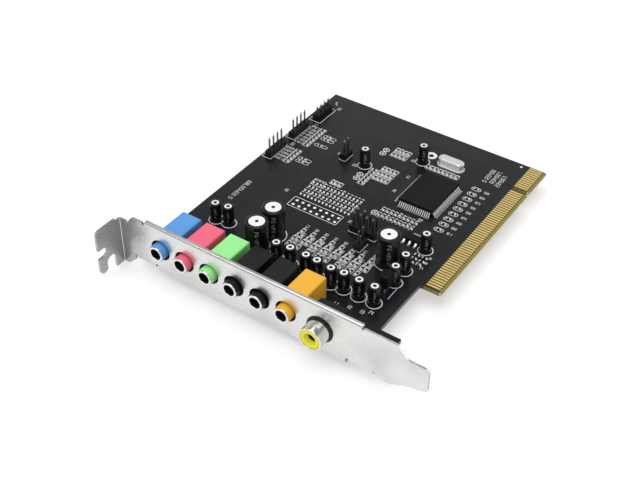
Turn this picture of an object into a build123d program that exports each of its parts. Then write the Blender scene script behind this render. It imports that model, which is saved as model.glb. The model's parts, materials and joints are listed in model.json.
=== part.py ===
import os

from build123d import *

os.makedirs("parts", exist_ok=True)

# Sizes are in millimetres. X points into the slot, Y runs along the edge connector away from
# the bracket, Z points up from the component face. The origin is the inner end of contact 1.

# Circuit board
board_thick = 1.6
board_left = -87.4
board_near = -39.9
board_far = 78.3
leg_end = 6.2
leg_far = -26.8
recess_edge = -1.6
tongue_near = -1.45
tongue_end = 6.5
bevel_run = 1.0
bevel_drop = 0.4
board_round = 0.8
solder_face = -board_thick

# Edge connector: 62 places, of which the key slot takes two
contact_pitch = 1.27
contact_places = 62
key_place = 50
contact_width = 1.0
contact_length = 5.2
contact_thick = 0.05
key_width = 1.91
key_inner = 0.3

# Folded bracket
sheet = 0.86
bend_round = 1.0
bend_inner = bend_round - sheet
bracket_front = -41.3
bracket_back = bracket_front + sheet
bracket_length = 120.02
tab_outer = -96.3
tab_seat = tab_outer + sheet
bracket_tip = tab_outer + bracket_length
neck_top = 10.6
neck_bottom = -7.8
plate_top = 13.9
plate_low = -5.0
shoulder_top = 13.4
edge_top = 13.3
relief_floor = 12.7
blade_top = 9.0
flange_depth = 1.7
top_flange = (-84.5, 0.35)
low_flange = (-79.9, -5.0)
lug_spans = ((-89.2, -81.0), (-3.4, 4.9))
lug_depth = 9.5
lug_low = -4.0
lug_top = lug_low + sheet
collar_wall = 1.0
relief_top = -2.4
tab_far = -52.8
tab_top = 11.8
tab_foot = -6.4
end_notch = (0.2, 3.85)
end_notch_floor = -48.9
screw_slot = (-49.4, -45.0)
screw_slot_top = -1.5

# Board screws
screw_places = ((-84.7, -35.6), (0.6, -35.6))
screw_radius = 1.25
screw_flutes = 8
screw_gap = 0.1
screw_head_radius = 2.3
screw_head_height = 1.7
screw_tip = -4.8

# Jacks
jack_names = ("line_in", "mic_in", "front_out", "rear_out", "side_out", "center_out")
jack_first = -78.14
jack_pitch = 10.15
jack_axis = 5.07
jack_width = 7.85
jack_height = 8.9
jack_back = -24.35
jack_front = bracket_back + 0.1
jack_edge = 0.35
nose_radius = 3.0
nose_front = bracket_front - 2.36
jack_hole_radius = 3.9
plug_radius = 1.8
plug_depth = 14.2

# Phono socket
phono_x = -14.6
phono_axis = 4.5
phono_width = 10.0
phono_height = 9.2
phono_back = -33.0
phono_hole_radius = 4.9
collar_radius = 4.75
collar_front = bracket_front - 0.5
shell_radius = 4.15
neck_radius = 3.9
shell_wall = 0.5
shell_front = bracket_front - 5.6
shell_back = -36.4
insert_front = shell_front + 0.7
pin_hole_radius = 1.7

# Electrolytic capacitors
large_radius = 4.0
large_height = 12.5
large_places = ((-55.7, -8.6), (-55.8, -17.8), (-16.2, 1.6))
small_radius = 2.0
small_height = 7.7
small_places = (
    (-77.2, -13.2), (-72.3, -12.3), (-47.6, -18.2), (-42.3, -17.7), (-36.0, -17.7),
    (-31.5, -17.9), (-25.7, -18.4), (-20.9, -18.0), (-15.1, -18.0), (-9.4, -17.8),
    (-8.95, -5.7), (-9.15, 1.1), (-8.75, 14.2), (-51.7, 43.7), (-35.0, 58.0),
)

# Audio chip
chip_x = -22.7
chip_y = 41.0
chip_width = 14.0
chip_length = 20.0
chip_low = 0.3
chip_middle = 1.5
chip_top = 2.7
chip_draft = 8
lead_pitch = 0.8
lead_width = 0.35
lead_thick = 0.16
lead_span = 1.8
lead_foot = 0.9
short_side_leads = 16
long_side_leads = 24

# Crystal
crystal_x = -24.6
crystal_y = 61.1
crystal_length = 11.05
crystal_width = 4.65
crystal_flange = 0.6
crystal_step = 0.4
crystal_height = 3.5
crystal_edge = 0.4

# Pin headers
pin_pitch = 2.54
pin = 0.64
base_height = 2.5
post_top = 8.3
short_post_top = 6.0
side_starts = ((-84.3, 28.3), (-84.3, 43.7), (-83.5, 58.9))
side_posts = 4
jumper_starts = ((-60.3, 42.8), (-27.8, 1.8))
jumper_posts = 2
front_start = (-34.6, 9.5)
front_columns = 4

# Regulator and transistor
regulator_x = -14.9
regulator_y = 16.3
regulator_width = 6.5
regulator_depth = 3.5
regulator_low = 0.1
regulator_height = 1.6
regulator_edge = 0.28
regulator_lead_pitch = 2.3
regulator_lead_width = 0.7
regulator_tab_width = 3.0
regulator_reach = 1.75
transistor_x = -9.2
transistor_y = -10.2
transistor_radius = 2.4
transistor_flat = 1.3
transistor_low = 2.5
transistor_top = 7.0
transistor_pitch = 1.27
wire = 0.5


def span(pair):
    return pair[1] - pair[0]


def middle(pair):
    return (pair[0] + pair[1]) / 2


def save(piece, name):
    piece.part.label = name
    export_step(piece.part, f"parts/{name}.step")


# Circuit board with its tongue, key slot, recess and leg, as (x, y, corner radius)
board_corners = (
    (board_left, board_near, 0),
    (leg_end, board_near, 0),
    (leg_end, leg_far, 0),
    (recess_edge, leg_far, board_round),
    (recess_edge, tongue_near, board_round),
    (tongue_end, tongue_near, 0),
    (tongue_end, board_far, 0),
    (board_left, board_far, 0),
)


def outline(corners):
    FilletPolyline(
        *[corner[:2] for corner in corners],
        radius=[corner[2] for corner in corners],
        close=True,
    )


key_middle = contact_pitch * (key_place - 0.5)

with BuildPart() as circuit_board:
    with BuildSketch():
        with BuildLine():
            outline(board_corners)
        make_face()
    extrude(amount=-board_thick)
    tongue_edges = circuit_board.edges().filter_by(Axis.Y).group_by(Axis.X)[-1]
    chamfer(tongue_edges, length=bevel_drop, length2=bevel_run)
    with BuildSketch():
        with Locations((key_inner + key_width / 2, key_middle)):
            Rectangle(tongue_end, key_width, align=(Align.MIN, Align.CENTER))
            Circle(key_width / 2)
        with Locations(*screw_places):
            RegularPolygon(screw_radius + screw_gap, screw_flutes)
    extrude(amount=-board_thick, mode=Mode.SUBTRACT)
save(circuit_board, "circuit_board")


# Edge contacts on both faces of the tongue
contacts_at = [
    (0, contact_pitch * k)
    for k in range(contact_places)
    if k + 1 not in (key_place, key_place + 1)
]


def edge_contacts(height, thick, name):
    with BuildPart() as contacts:
        with BuildSketch(Plane.XY.offset(height)):
            with Locations(*contacts_at):
                Rectangle(contact_length, contact_width, align=(Align.MIN, Align.CENTER))
        extrude(amount=thick)
    save(contacts, name)


edge_contacts(0, contact_thick, "edge_contacts_top")
edge_contacts(solder_face, -contact_thick, "edge_contacts_bottom")


# Bracket: one sheet with a tab, two flanges and two lugs that end in drawn collars,
# which carry the board and take its screws, as (x, z, corner radius)
plate_corners = (
    (tab_outer, neck_top, 0),
    (-92.0, neck_top, 1.4),
    (-90.2, shoulder_top, 1.0),
    (-85.4, shoulder_top, 0),
    (-85.4, relief_floor, 0),
    (top_flange[0], relief_floor, 0),
    (top_flange[0], plate_top, 0),
    (top_flange[1], plate_top, 0),
    (top_flange[1], relief_floor, 0),
    (1.0, relief_floor, 0),
    (1.0, edge_top, 0),
    (12.7, edge_top, 1.0),
    (16.5, blade_top, 1.5),
    (22.4, blade_top, 0),
    (bracket_tip, 8.0, 0),
    (bracket_tip, 0, 0.8),
    (15.9, -1.8, 0),
    (10.6, -4.4, 1.0),
    (5.6, -4.1, 0),
    (5.6, relief_top, 0),
    (lug_spans[1][1], relief_top, 0),
    (lug_spans[1][1], lug_low, 0),
    (lug_spans[1][0], lug_low, 0),
    (lug_spans[1][0], relief_top, 0),
    (low_flange[1], relief_top, 0),
    (low_flange[1], plate_low, 0),
    (low_flange[0], plate_low, 0),
    (low_flange[0], relief_top, 0),
    (lug_spans[0][1], relief_top, 0),
    (lug_spans[0][1], lug_low, 0),
    (lug_spans[0][0], lug_low, 0),
    (lug_spans[0][0], relief_top, 0),
    (-90.2, relief_top, 0),
    (-90.2, -4.9, 0),
    (-93.4, neck_bottom, 1.5),
    (tab_outer, neck_bottom, 0),
)

# Screw tab with its end notch and its screw slot, as (y, z, corner radius)
tab_corners = (
    (bracket_back, neck_top, 0),
    (-42.6, neck_top, 0),
    (-43.6, tab_top, 0),
    (tab_far, tab_top, 1.8),
    (tab_far, end_notch[1], 0),
    (end_notch_floor, end_notch[1], 1.75),
    (end_notch_floor, end_notch[0], 1.75),
    (tab_far, end_notch[0], 0),
    (tab_far, tab_foot, 1.5),
    (screw_slot[0], tab_foot, 1.2),
    (screw_slot[0], screw_slot_top, 2.1),
    (screw_slot[1], screw_slot_top, 2.1),
    (screw_slot[1], neck_bottom, 0),
    (bracket_back, neck_bottom, 0),
)

jack_middles = [jack_first + jack_pitch * k for k in range(len(jack_names))]


def edges_at(edges, along, first, first_value, second, second_value):
    reach = 0.01
    found = edges.filter_by(along)
    found = found.filter_by_position(first, first_value - reach, first_value + reach)
    return found.filter_by_position(second, second_value - reach, second_value + reach)


with BuildPart() as bracket:
    with BuildSketch(Plane.XZ.offset(-bracket_back)):
        with BuildLine():
            outline(plate_corners)
        make_face()
        with Locations(*[(x, jack_axis) for x in jack_middles]):
            Circle(jack_hole_radius, mode=Mode.SUBTRACT)
        with Locations((phono_x, phono_axis)):
            Circle(phono_hole_radius, mode=Mode.SUBTRACT)
    extrude(amount=sheet)
    with BuildSketch(Plane.YZ.offset(tab_outer)):
        with BuildLine():
            outline(tab_corners)
        make_face()
    extrude(amount=sheet)
    with BuildSketch(Plane.XY.offset(plate_top)):
        with Locations((middle(top_flange), bracket_front)):
            Rectangle(span(top_flange), flange_depth, align=(Align.CENTER, Align.MIN))
    extrude(amount=-sheet)
    with BuildSketch(Plane.XY.offset(plate_low)):
        with Locations((middle(low_flange), bracket_front)):
            Rectangle(span(low_flange), flange_depth, align=(Align.CENTER, Align.MIN))
    extrude(amount=sheet)
    with BuildSketch(Plane.XY.offset(lug_low)):
        for lug in lug_spans:
            with Locations((middle(lug), bracket_front)):
                Rectangle(span(lug), lug_depth, align=(Align.CENTER, Align.MIN))
    extrude(amount=sheet)
    with BuildSketch(Plane.XY.offset(lug_top)):
        with Locations(*screw_places):
            RegularPolygon(screw_radius + collar_wall, 2 * screw_flutes)
    extrude(amount=solder_face - lug_top)
    with BuildSketch(Plane.XY.offset(lug_low)):
        with Locations(*screw_places):
            RegularPolygon(screw_radius, screw_flutes)
    extrude(amount=solder_face - lug_low, mode=Mode.SUBTRACT)
    fillet(edges_at(bracket.edges(), Axis.Z, Axis.X, tab_outer, Axis.Y, bracket_back), bend_round)
    fillet(edges_at(bracket.edges(), Axis.Z, Axis.X, tab_seat, Axis.Y, bracket_front), bend_inner)
    for fold in (plate_top, plate_low, lug_low):
        fillet(edges_at(bracket.edges(), Axis.X, Axis.Y, bracket_front, Axis.Z, fold), bend_round)
    for fold in (plate_top - sheet, plate_low + sheet, lug_top):
        fillet(edges_at(bracket.edges(), Axis.X, Axis.Y, bracket_back, Axis.Z, fold), bend_inner)
save(bracket, "bracket")


# Board screws: round heads on the component face, thread-cutting shanks in the collars
with BuildPart() as bracket_screws:
    with BuildSketch(Plane.XY.offset(screw_tip)):
        with Locations(*screw_places):
            RegularPolygon(screw_radius, screw_flutes)
    extrude(amount=-screw_tip)
    with BuildSketch():
        with Locations(*screw_places):
            Circle(screw_head_radius)
    extrude(amount=screw_head_height)
save(bracket_screws, "bracket_screws")


# Six jacks: a moulded housing each, with a nose through the bracket and a plug bore
def jack_housing(x, name):
    with BuildPart() as housing:
        with BuildSketch():
            with Locations((x, jack_front)):
                Rectangle(jack_width, jack_back - jack_front, align=(Align.CENTER, Align.MIN))
        extrude(amount=jack_height)
        chamfer(housing.edges().group_by(Axis.Z)[-1], length=jack_edge)
        with BuildSketch(Plane.XZ.offset(-jack_front)):
            with Locations((x, jack_axis)):
                Circle(nose_radius)
        extrude(amount=jack_front - nose_front)
        with BuildSketch(Plane.XZ.offset(-nose_front)):
            with Locations((x, jack_axis)):
                Circle(plug_radius)
        extrude(amount=-plug_depth, mode=Mode.SUBTRACT)
    save(housing, f"{name}_jack_housing")


for jack_x, jack_name in zip(jack_middles, jack_names):
    jack_housing(jack_x, jack_name)


# Phono socket: housing with a collar in the bracket's hole, metal shell, insert
with BuildPart() as phono_housing:
    with BuildSketch():
        with Locations((phono_x, jack_front)):
            Rectangle(phono_width, phono_back - jack_front, align=(Align.CENTER, Align.MIN))
    extrude(amount=phono_height)
    chamfer(phono_housing.edges().group_by(Axis.Z)[-1], length=jack_edge)
    with BuildSketch(Plane.XZ.offset(-jack_front)):
        with Locations((phono_x, phono_axis)):
            Circle(collar_radius)
    extrude(amount=jack_front - collar_front)
    with BuildSketch(Plane.XZ.offset(-collar_front)):
        with Locations((phono_x, phono_axis)):
            Circle(neck_radius)
    extrude(amount=collar_front - shell_back, mode=Mode.SUBTRACT)
save(phono_housing, "phono_housing")

with BuildPart() as phono_shell:
    with BuildSketch(Plane.XZ.offset(-shell_back)):
        with Locations((phono_x, phono_axis)):
            Circle(neck_radius)
    extrude(amount=shell_back - collar_front)
    with BuildSketch(Plane.XZ.offset(-collar_front)):
        with Locations((phono_x, phono_axis)):
            Circle(shell_radius)
    extrude(amount=collar_front - shell_front)
    with BuildSketch(Plane.XZ.offset(-shell_back)):
        with Locations((phono_x, phono_axis)):
            Circle(shell_radius - shell_wall)
    extrude(amount=shell_back - shell_front, mode=Mode.SUBTRACT)
save(phono_shell, "phono_shell")

with BuildPart() as phono_insert:
    with BuildSketch(Plane.XZ.offset(-shell_back)):
        with Locations((phono_x, phono_axis)):
            Circle(shell_radius - shell_wall)
            Circle(pin_hole_radius, mode=Mode.SUBTRACT)
    extrude(amount=shell_back - insert_front)
save(phono_insert, "phono_insert")


# Electrolytic capacitors: sleeved cans standing on the board
def capacitor(place, radius, height, name):
    with BuildPart() as can:
        with BuildSketch():
            with Locations(place):
                Circle(radius)
        extrude(amount=height)
    save(can, name)


for number, place in enumerate(large_places, 1):
    capacitor(place, large_radius, large_height, f"filter_capacitor_{number}")
for number, place in enumerate(small_places, 1):
    capacitor(place, small_radius, small_height, f"coupling_capacitor_{number:02d}")


# Audio chip: drafted body and gull-wing leads on four sides
with BuildPart() as audio_chip:
    for face_height in (chip_top, chip_low):
        with BuildSketch(Plane.XY.offset(chip_middle)):
            with Locations((chip_x, chip_y)):
                Rectangle(chip_width, chip_length)
        extrude(amount=face_height - chip_middle, taper=chip_draft)
save(audio_chip, "audio_chip")


def gull_wing(reach, foot, height, thick):
    knee = reach - foot
    Polyline(
        (0, height + thick / 2),
        (knee, thick),
        (reach, thick),
        (reach, 0),
        (knee - thick, 0),
        (0, height - thick),
        close=True,
    )


chip_sides = (
    (0, chip_width / 2, long_side_leads),
    (90, chip_length / 2, short_side_leads),
    (180, chip_width / 2, long_side_leads),
    (270, chip_length / 2, short_side_leads),
)
lead_spots = [
    Location((chip_x, chip_y, 0), (0, 0, turn)) * Location((out, lead_pitch * (k - (count - 1) / 2), 0))
    for turn, out, count in chip_sides
    for k in range(count)
]

with BuildPart() as chip_lead:
    with BuildSketch(Plane.XZ.offset(-lead_width / 2)):
        with BuildLine():
            gull_wing(lead_span, lead_foot, chip_middle, lead_thick)
        make_face()
    extrude(amount=lead_width)

with BuildPart() as audio_chip_leads:
    with Locations(*lead_spots):
        add(chip_lead.part)
save(audio_chip_leads, "audio_chip_leads")


# Crystal: a drawn can on a flanged base
with BuildPart() as crystal_base:
    with BuildSketch():
        with Locations((crystal_x, crystal_y)):
            SlotOverall(crystal_length, crystal_width)
    extrude(amount=crystal_flange)
save(crystal_base, "crystal_base")

with BuildPart() as crystal_can:
    with BuildSketch(Plane.XY.offset(crystal_flange)):
        with Locations((crystal_x, crystal_y)):
            SlotOverall(crystal_length - 2 * crystal_step, crystal_width - 2 * crystal_step)
    extrude(amount=crystal_height - crystal_flange)
    chamfer(crystal_can.edges().group_by(Axis.Z)[-1], length=crystal_edge)
save(crystal_can, "crystal_can")


# Pin headers: moulded bases and square posts
def post_places(start, columns, rows):
    return [(start[0] + pin_pitch * i, start[1] + pin_pitch * k) for k in range(rows) for i in range(columns)]


side_pins = [post_places(start, 1, side_posts) for start in side_starts]
jumper_pins = [post_places(start, 1, jumper_posts) for start in jumper_starts]
front_pins = post_places(front_start, front_columns, 2)
tall_pins = side_pins[0] + side_pins[1] + jumper_pins[0] + jumper_pins[1] + front_pins


def header_base(places, name):
    with BuildPart() as base:
        with BuildSketch():
            with Locations(*places):
                Rectangle(pin_pitch, pin_pitch)
            with Locations(*places):
                Rectangle(pin, pin, mode=Mode.SUBTRACT)
        extrude(amount=base_height)
    save(base, name)


for number, places in enumerate(side_pins, 1):
    header_base(places, f"side_header_base_{number}")
for number, places in enumerate(jumper_pins, 1):
    header_base(places, f"jumper_base_{number}")
header_base(front_pins, "front_audio_header_base")

with BuildPart() as header_pins:
    for places, top in ((tall_pins, post_top), (side_pins[2], short_post_top)):
        with BuildSketch():
            with Locations(*places):
                Rectangle(pin, pin)
        extrude(amount=top)
save(header_pins, "header_pins")


# Regulator: body, three leads on one side and a wide tab on the other
with BuildPart() as regulator_body:
    with BuildSketch(Plane.XY.offset(regulator_low)):
        with Locations((regulator_x, regulator_y)):
            Rectangle(regulator_width, regulator_depth)
    extrude(amount=regulator_height)
    chamfer(regulator_body.edges().group_by(Axis.Z)[-1], length=regulator_edge)
save(regulator_body, "regulator_body")

regulator_feet = [(-1, regulator_lead_pitch * k, regulator_lead_width) for k in (-1, 0, 1)]
regulator_feet.append((1, 0, regulator_tab_width))

with BuildPart() as regulator_leads:
    for side, shift, width in regulator_feet:
        corner = (regulator_x + shift - side * width / 2, regulator_y + side * regulator_depth / 2, 0)
        with BuildSketch(Plane(corner, x_dir=(0, side, 0), z_dir=(side, 0, 0))):
            with BuildLine():
                gull_wing(regulator_reach, regulator_reach / 2, regulator_height / 2, regulator_edge)
            make_face()
        extrude(amount=width)
save(regulator_leads, "regulator_leads")


# Transistor: round-backed body on three leads
with BuildPart() as transistor_body:
    with BuildSketch(Plane.XY.offset(transistor_low)):
        with Locations((transistor_x, transistor_y)):
            Circle(transistor_radius)
        with Locations((transistor_x + transistor_flat, transistor_y)):
            Rectangle(
                transistor_radius,
                2 * transistor_radius,
                align=(Align.MIN, Align.CENTER),
                mode=Mode.SUBTRACT,
            )
    extrude(amount=transistor_top - transistor_low)
save(transistor_body, "transistor_body")

with BuildPart() as transistor_leads:
    with BuildSketch():
        with Locations((transistor_x, transistor_y)):
            with GridLocations(wire, transistor_pitch, 1, 3):
                Rectangle(wire, wire)
    extrude(amount=transistor_low)
save(transistor_leads, "transistor_leads")
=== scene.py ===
import json
import math

import bmesh
import bpy
from mathutils import Matrix, Vector


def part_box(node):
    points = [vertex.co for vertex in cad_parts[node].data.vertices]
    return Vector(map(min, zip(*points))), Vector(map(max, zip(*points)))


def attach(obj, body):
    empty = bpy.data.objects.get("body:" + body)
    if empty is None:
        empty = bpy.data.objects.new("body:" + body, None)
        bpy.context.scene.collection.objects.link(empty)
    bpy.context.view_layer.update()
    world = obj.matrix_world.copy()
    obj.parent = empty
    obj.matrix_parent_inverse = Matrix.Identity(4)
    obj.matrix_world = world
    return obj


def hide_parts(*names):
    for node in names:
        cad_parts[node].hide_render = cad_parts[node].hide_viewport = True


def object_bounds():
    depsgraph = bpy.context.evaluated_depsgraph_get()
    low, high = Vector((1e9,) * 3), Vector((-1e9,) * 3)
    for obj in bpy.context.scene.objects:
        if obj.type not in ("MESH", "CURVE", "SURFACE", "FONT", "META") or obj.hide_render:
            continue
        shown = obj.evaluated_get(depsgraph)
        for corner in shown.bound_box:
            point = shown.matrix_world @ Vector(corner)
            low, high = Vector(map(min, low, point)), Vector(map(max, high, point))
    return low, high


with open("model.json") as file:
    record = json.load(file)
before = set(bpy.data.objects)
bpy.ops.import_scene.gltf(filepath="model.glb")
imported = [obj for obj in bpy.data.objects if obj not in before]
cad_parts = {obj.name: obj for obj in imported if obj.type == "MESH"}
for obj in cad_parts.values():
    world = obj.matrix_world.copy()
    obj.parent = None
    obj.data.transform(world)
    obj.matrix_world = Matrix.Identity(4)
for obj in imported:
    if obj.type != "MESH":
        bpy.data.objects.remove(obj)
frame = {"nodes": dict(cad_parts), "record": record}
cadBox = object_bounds()
mm = 0.001  # lengths in the dictionaries are in millimetres, scales of grain are per metre


def nodeBox(name):
    low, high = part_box(name)
    return low / mm, high / mm


mounts = {mount["name"]: Vector(mount["pos_m"]) / mm for mount in frame["record"]["mounts"]}
boardLow, boardHigh = nodeBox("circuit_board")
print("frame loaded:", len(frame["nodes"]), "nodes")


# Shared effects, as shader node groups
def startGroup(name, inputs, outputs):
    group = bpy.data.node_groups.new(name, "ShaderNodeTree")
    for label, kind, value in inputs:
        socket = group.interface.new_socket(label, in_out="INPUT", socket_type=kind)
        socket.default_value = value
    for label in outputs:
        group.interface.new_socket(label, in_out="OUTPUT", socket_type="NodeSocketFloat")
    return group, group.nodes.new("NodeGroupInput"), group.nodes.new("NodeGroupOutput")


def makeFineGrain():
    inputs = (
        ("Scale", "NodeSocketFloat", 1000.0),
        ("Stretch", "NodeSocketVector", (1.0, 1.0, 1.0)),
    )
    group, given, made = startGroup("fineGrain", inputs, ("Grain",))
    place = group.nodes.new("ShaderNodeTexCoord")
    stretch = group.nodes.new("ShaderNodeVectorMath")
    stretch.operation = "MULTIPLY"
    noise = group.nodes.new("ShaderNodeTexNoise")
    noise.inputs["Detail"].default_value = 3.0
    group.links.new(place.outputs["Object"], stretch.inputs[0])
    group.links.new(given.outputs["Stretch"], stretch.inputs[1])
    group.links.new(stretch.outputs["Vector"], noise.inputs["Vector"])
    group.links.new(given.outputs["Scale"], noise.inputs["Scale"])
    group.links.new(noise.outputs["Fac"], made.inputs["Grain"])
    return group


# A math node whose inputs are plain numbers or other nodes' outputs
def mathNode(nodes, links, operation, *values):
    node = nodes.new("ShaderNodeMath")
    node.operation = operation
    for socket, value in zip(node.inputs, values):
        if isinstance(value, float):
            socket.default_value = value
        else:
            links.new(value, socket)
    return node.outputs["Value"]


def makeSpecks():
    inputs = (("Scale", "NodeSocketFloat", 1000.0), ("Size", "NodeSocketFloat", 0.1))
    group, given, made = startGroup("specks", inputs, ("Specks",))
    place = group.nodes.new("ShaderNodeTexCoord")
    cells = group.nodes.new("ShaderNodeTexVoronoi")
    group.links.new(place.outputs["Object"], cells.inputs["Vector"])
    group.links.new(given.outputs["Scale"], cells.inputs["Scale"])
    sockets = (cells.outputs["Distance"], given.outputs["Size"])
    near = mathNode(group.nodes, group.links, "LESS_THAN", *sockets)
    group.links.new(near, made.inputs["Specks"])
    return group


fineGrain = makeFineGrain()
specks = makeSpecks()


def placeGroup(nodes, group, **values):
    node = nodes.new("ShaderNodeGroup")
    node.node_tree = group
    for label, value in values.items():
        node.inputs[label].default_value = value
    return node


def mixColors(nodes, links, mask, first, second):
    mix = nodes.new("ShaderNodeMix")
    mix.data_type = "RGBA"
    links.new(mask, mix.inputs[0])
    for socket, color in ((mix.inputs[6], first), (mix.inputs[7], second)):
        if isinstance(color, tuple):
            socket.default_value = (*color, 1.0)
        else:
            links.new(color, socket)
    return mix.outputs[2]


def spreadValue(nodes, links, source, low, high, start=0.3, end=0.7):
    spread = nodes.new("ShaderNodeMapRange")
    spread.inputs["From Min"].default_value = start
    spread.inputs["From Max"].default_value = end
    spread.inputs["To Min"].default_value = low
    spread.inputs["To Max"].default_value = high
    links.new(source, spread.inputs["Value"])
    return spread.outputs["Result"]


def softEdgeBump(nodes, links, height, edge, depth):
    soft = nodes.new("ShaderNodeBevel")
    soft.samples = 6
    soft.inputs["Radius"].default_value = edge * mm
    bump = nodes.new("ShaderNodeBump")
    bump.inputs["Distance"].default_value = depth * mm
    links.new(height, bump.inputs["Height"])
    links.new(soft.outputs["Normal"], bump.inputs["Normal"])
    return bump.outputs["Normal"]


contactPitch = 1.27


# A mask for painted shade and highlight: by where a surface faces, its place on an axis, or how far it is
# from a contact's middle
def paintedLightMask(nodes, links, kind, axis, reach):
    split = nodes.new("ShaderNodeSeparateXYZ")
    if kind == "facing":
        surface = nodes.new("ShaderNodeNewGeometry")
        links.new(surface.outputs["Normal"], split.inputs["Vector"])
        source = mathNode(nodes, links, "ABSOLUTE", split.outputs[axis])
    else:
        place = nodes.new("ShaderNodeTexCoord")
        links.new(place.outputs["Object"], split.inputs["Vector"])
        source = split.outputs[axis]
        reach = [length * mm for length in reach]
    if kind == "contact":
        source = mathNode(nodes, links, "PINGPONG", source, contactPitch / 2 * mm)
    rise = spreadValue(nodes, links, source, 0.0, 1.0, reach[0], reach[1])
    if len(reach) == 2:
        return rise
    fall = spreadValue(nodes, links, source, 0.0, 1.0, reach[2], reach[3])
    return mathNode(nodes, links, "SUBTRACT", rise, fall)


def startMaterial(name):
    material = bpy.data.materials.new(name)
    material.use_nodes = True
    return material, material.node_tree.nodes, material.node_tree.links


# One finish: two close tones in blotches, a roughness range, grain and softened edges, with painted shade
# and highlight where the look lists them
def makeFinish(name, look):
    material, nodes, links = startMaterial(name)
    shader = nodes["Principled BSDF"]
    for label, value in look.get("fixed", {}).items():
        shader.inputs[label].default_value = value
    stretch = look.get("stretch", (1.0, 1.0, 1.0))
    blotch = placeGroup(nodes, fineGrain, Scale=look["blotch"], Stretch=stretch)
    grain = placeGroup(nodes, fineGrain, Scale=look["grain"], Stretch=stretch)
    tone = mixColors(nodes, links, blotch.outputs["Grain"], look["dark"], look["light"])
    if "speck" in look:
        size, density, color = look["speck"]
        spots = placeGroup(nodes, specks, Scale=density, Size=size)
        tone = mixColors(nodes, links, spots.outputs["Specks"], tone, color)
    if "smudge" in look:
        size, reach, color = look["smudge"]
        haze = placeGroup(nodes, fineGrain, Scale=size, Stretch=reach)
        patch = spreadValue(nodes, links, haze.outputs["Grain"], 0.0, 1.0, 0.48, 0.72)
        tone = mixColors(nodes, links, patch, tone, color)
    for kind, axis, reach, color in look.get("tints", ()):
        tone = mixColors(nodes, links, paintedLightMask(nodes, links, kind, axis, reach), tone, color)
    links.new(tone, shader.inputs["Base Color"])
    rough = spreadValue(nodes, links, grain.outputs["Grain"], *look["rough"])
    links.new(rough, shader.inputs["Roughness"])
    normal = softEdgeBump(nodes, links, grain.outputs["Grain"], look["edge"], look["bump"])
    links.new(normal, shader.inputs["Normal"])
    return material


def tonesOf(color, shade=0.86):
    return {"dark": tuple(shade * part for part in color), "light": color}


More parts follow.
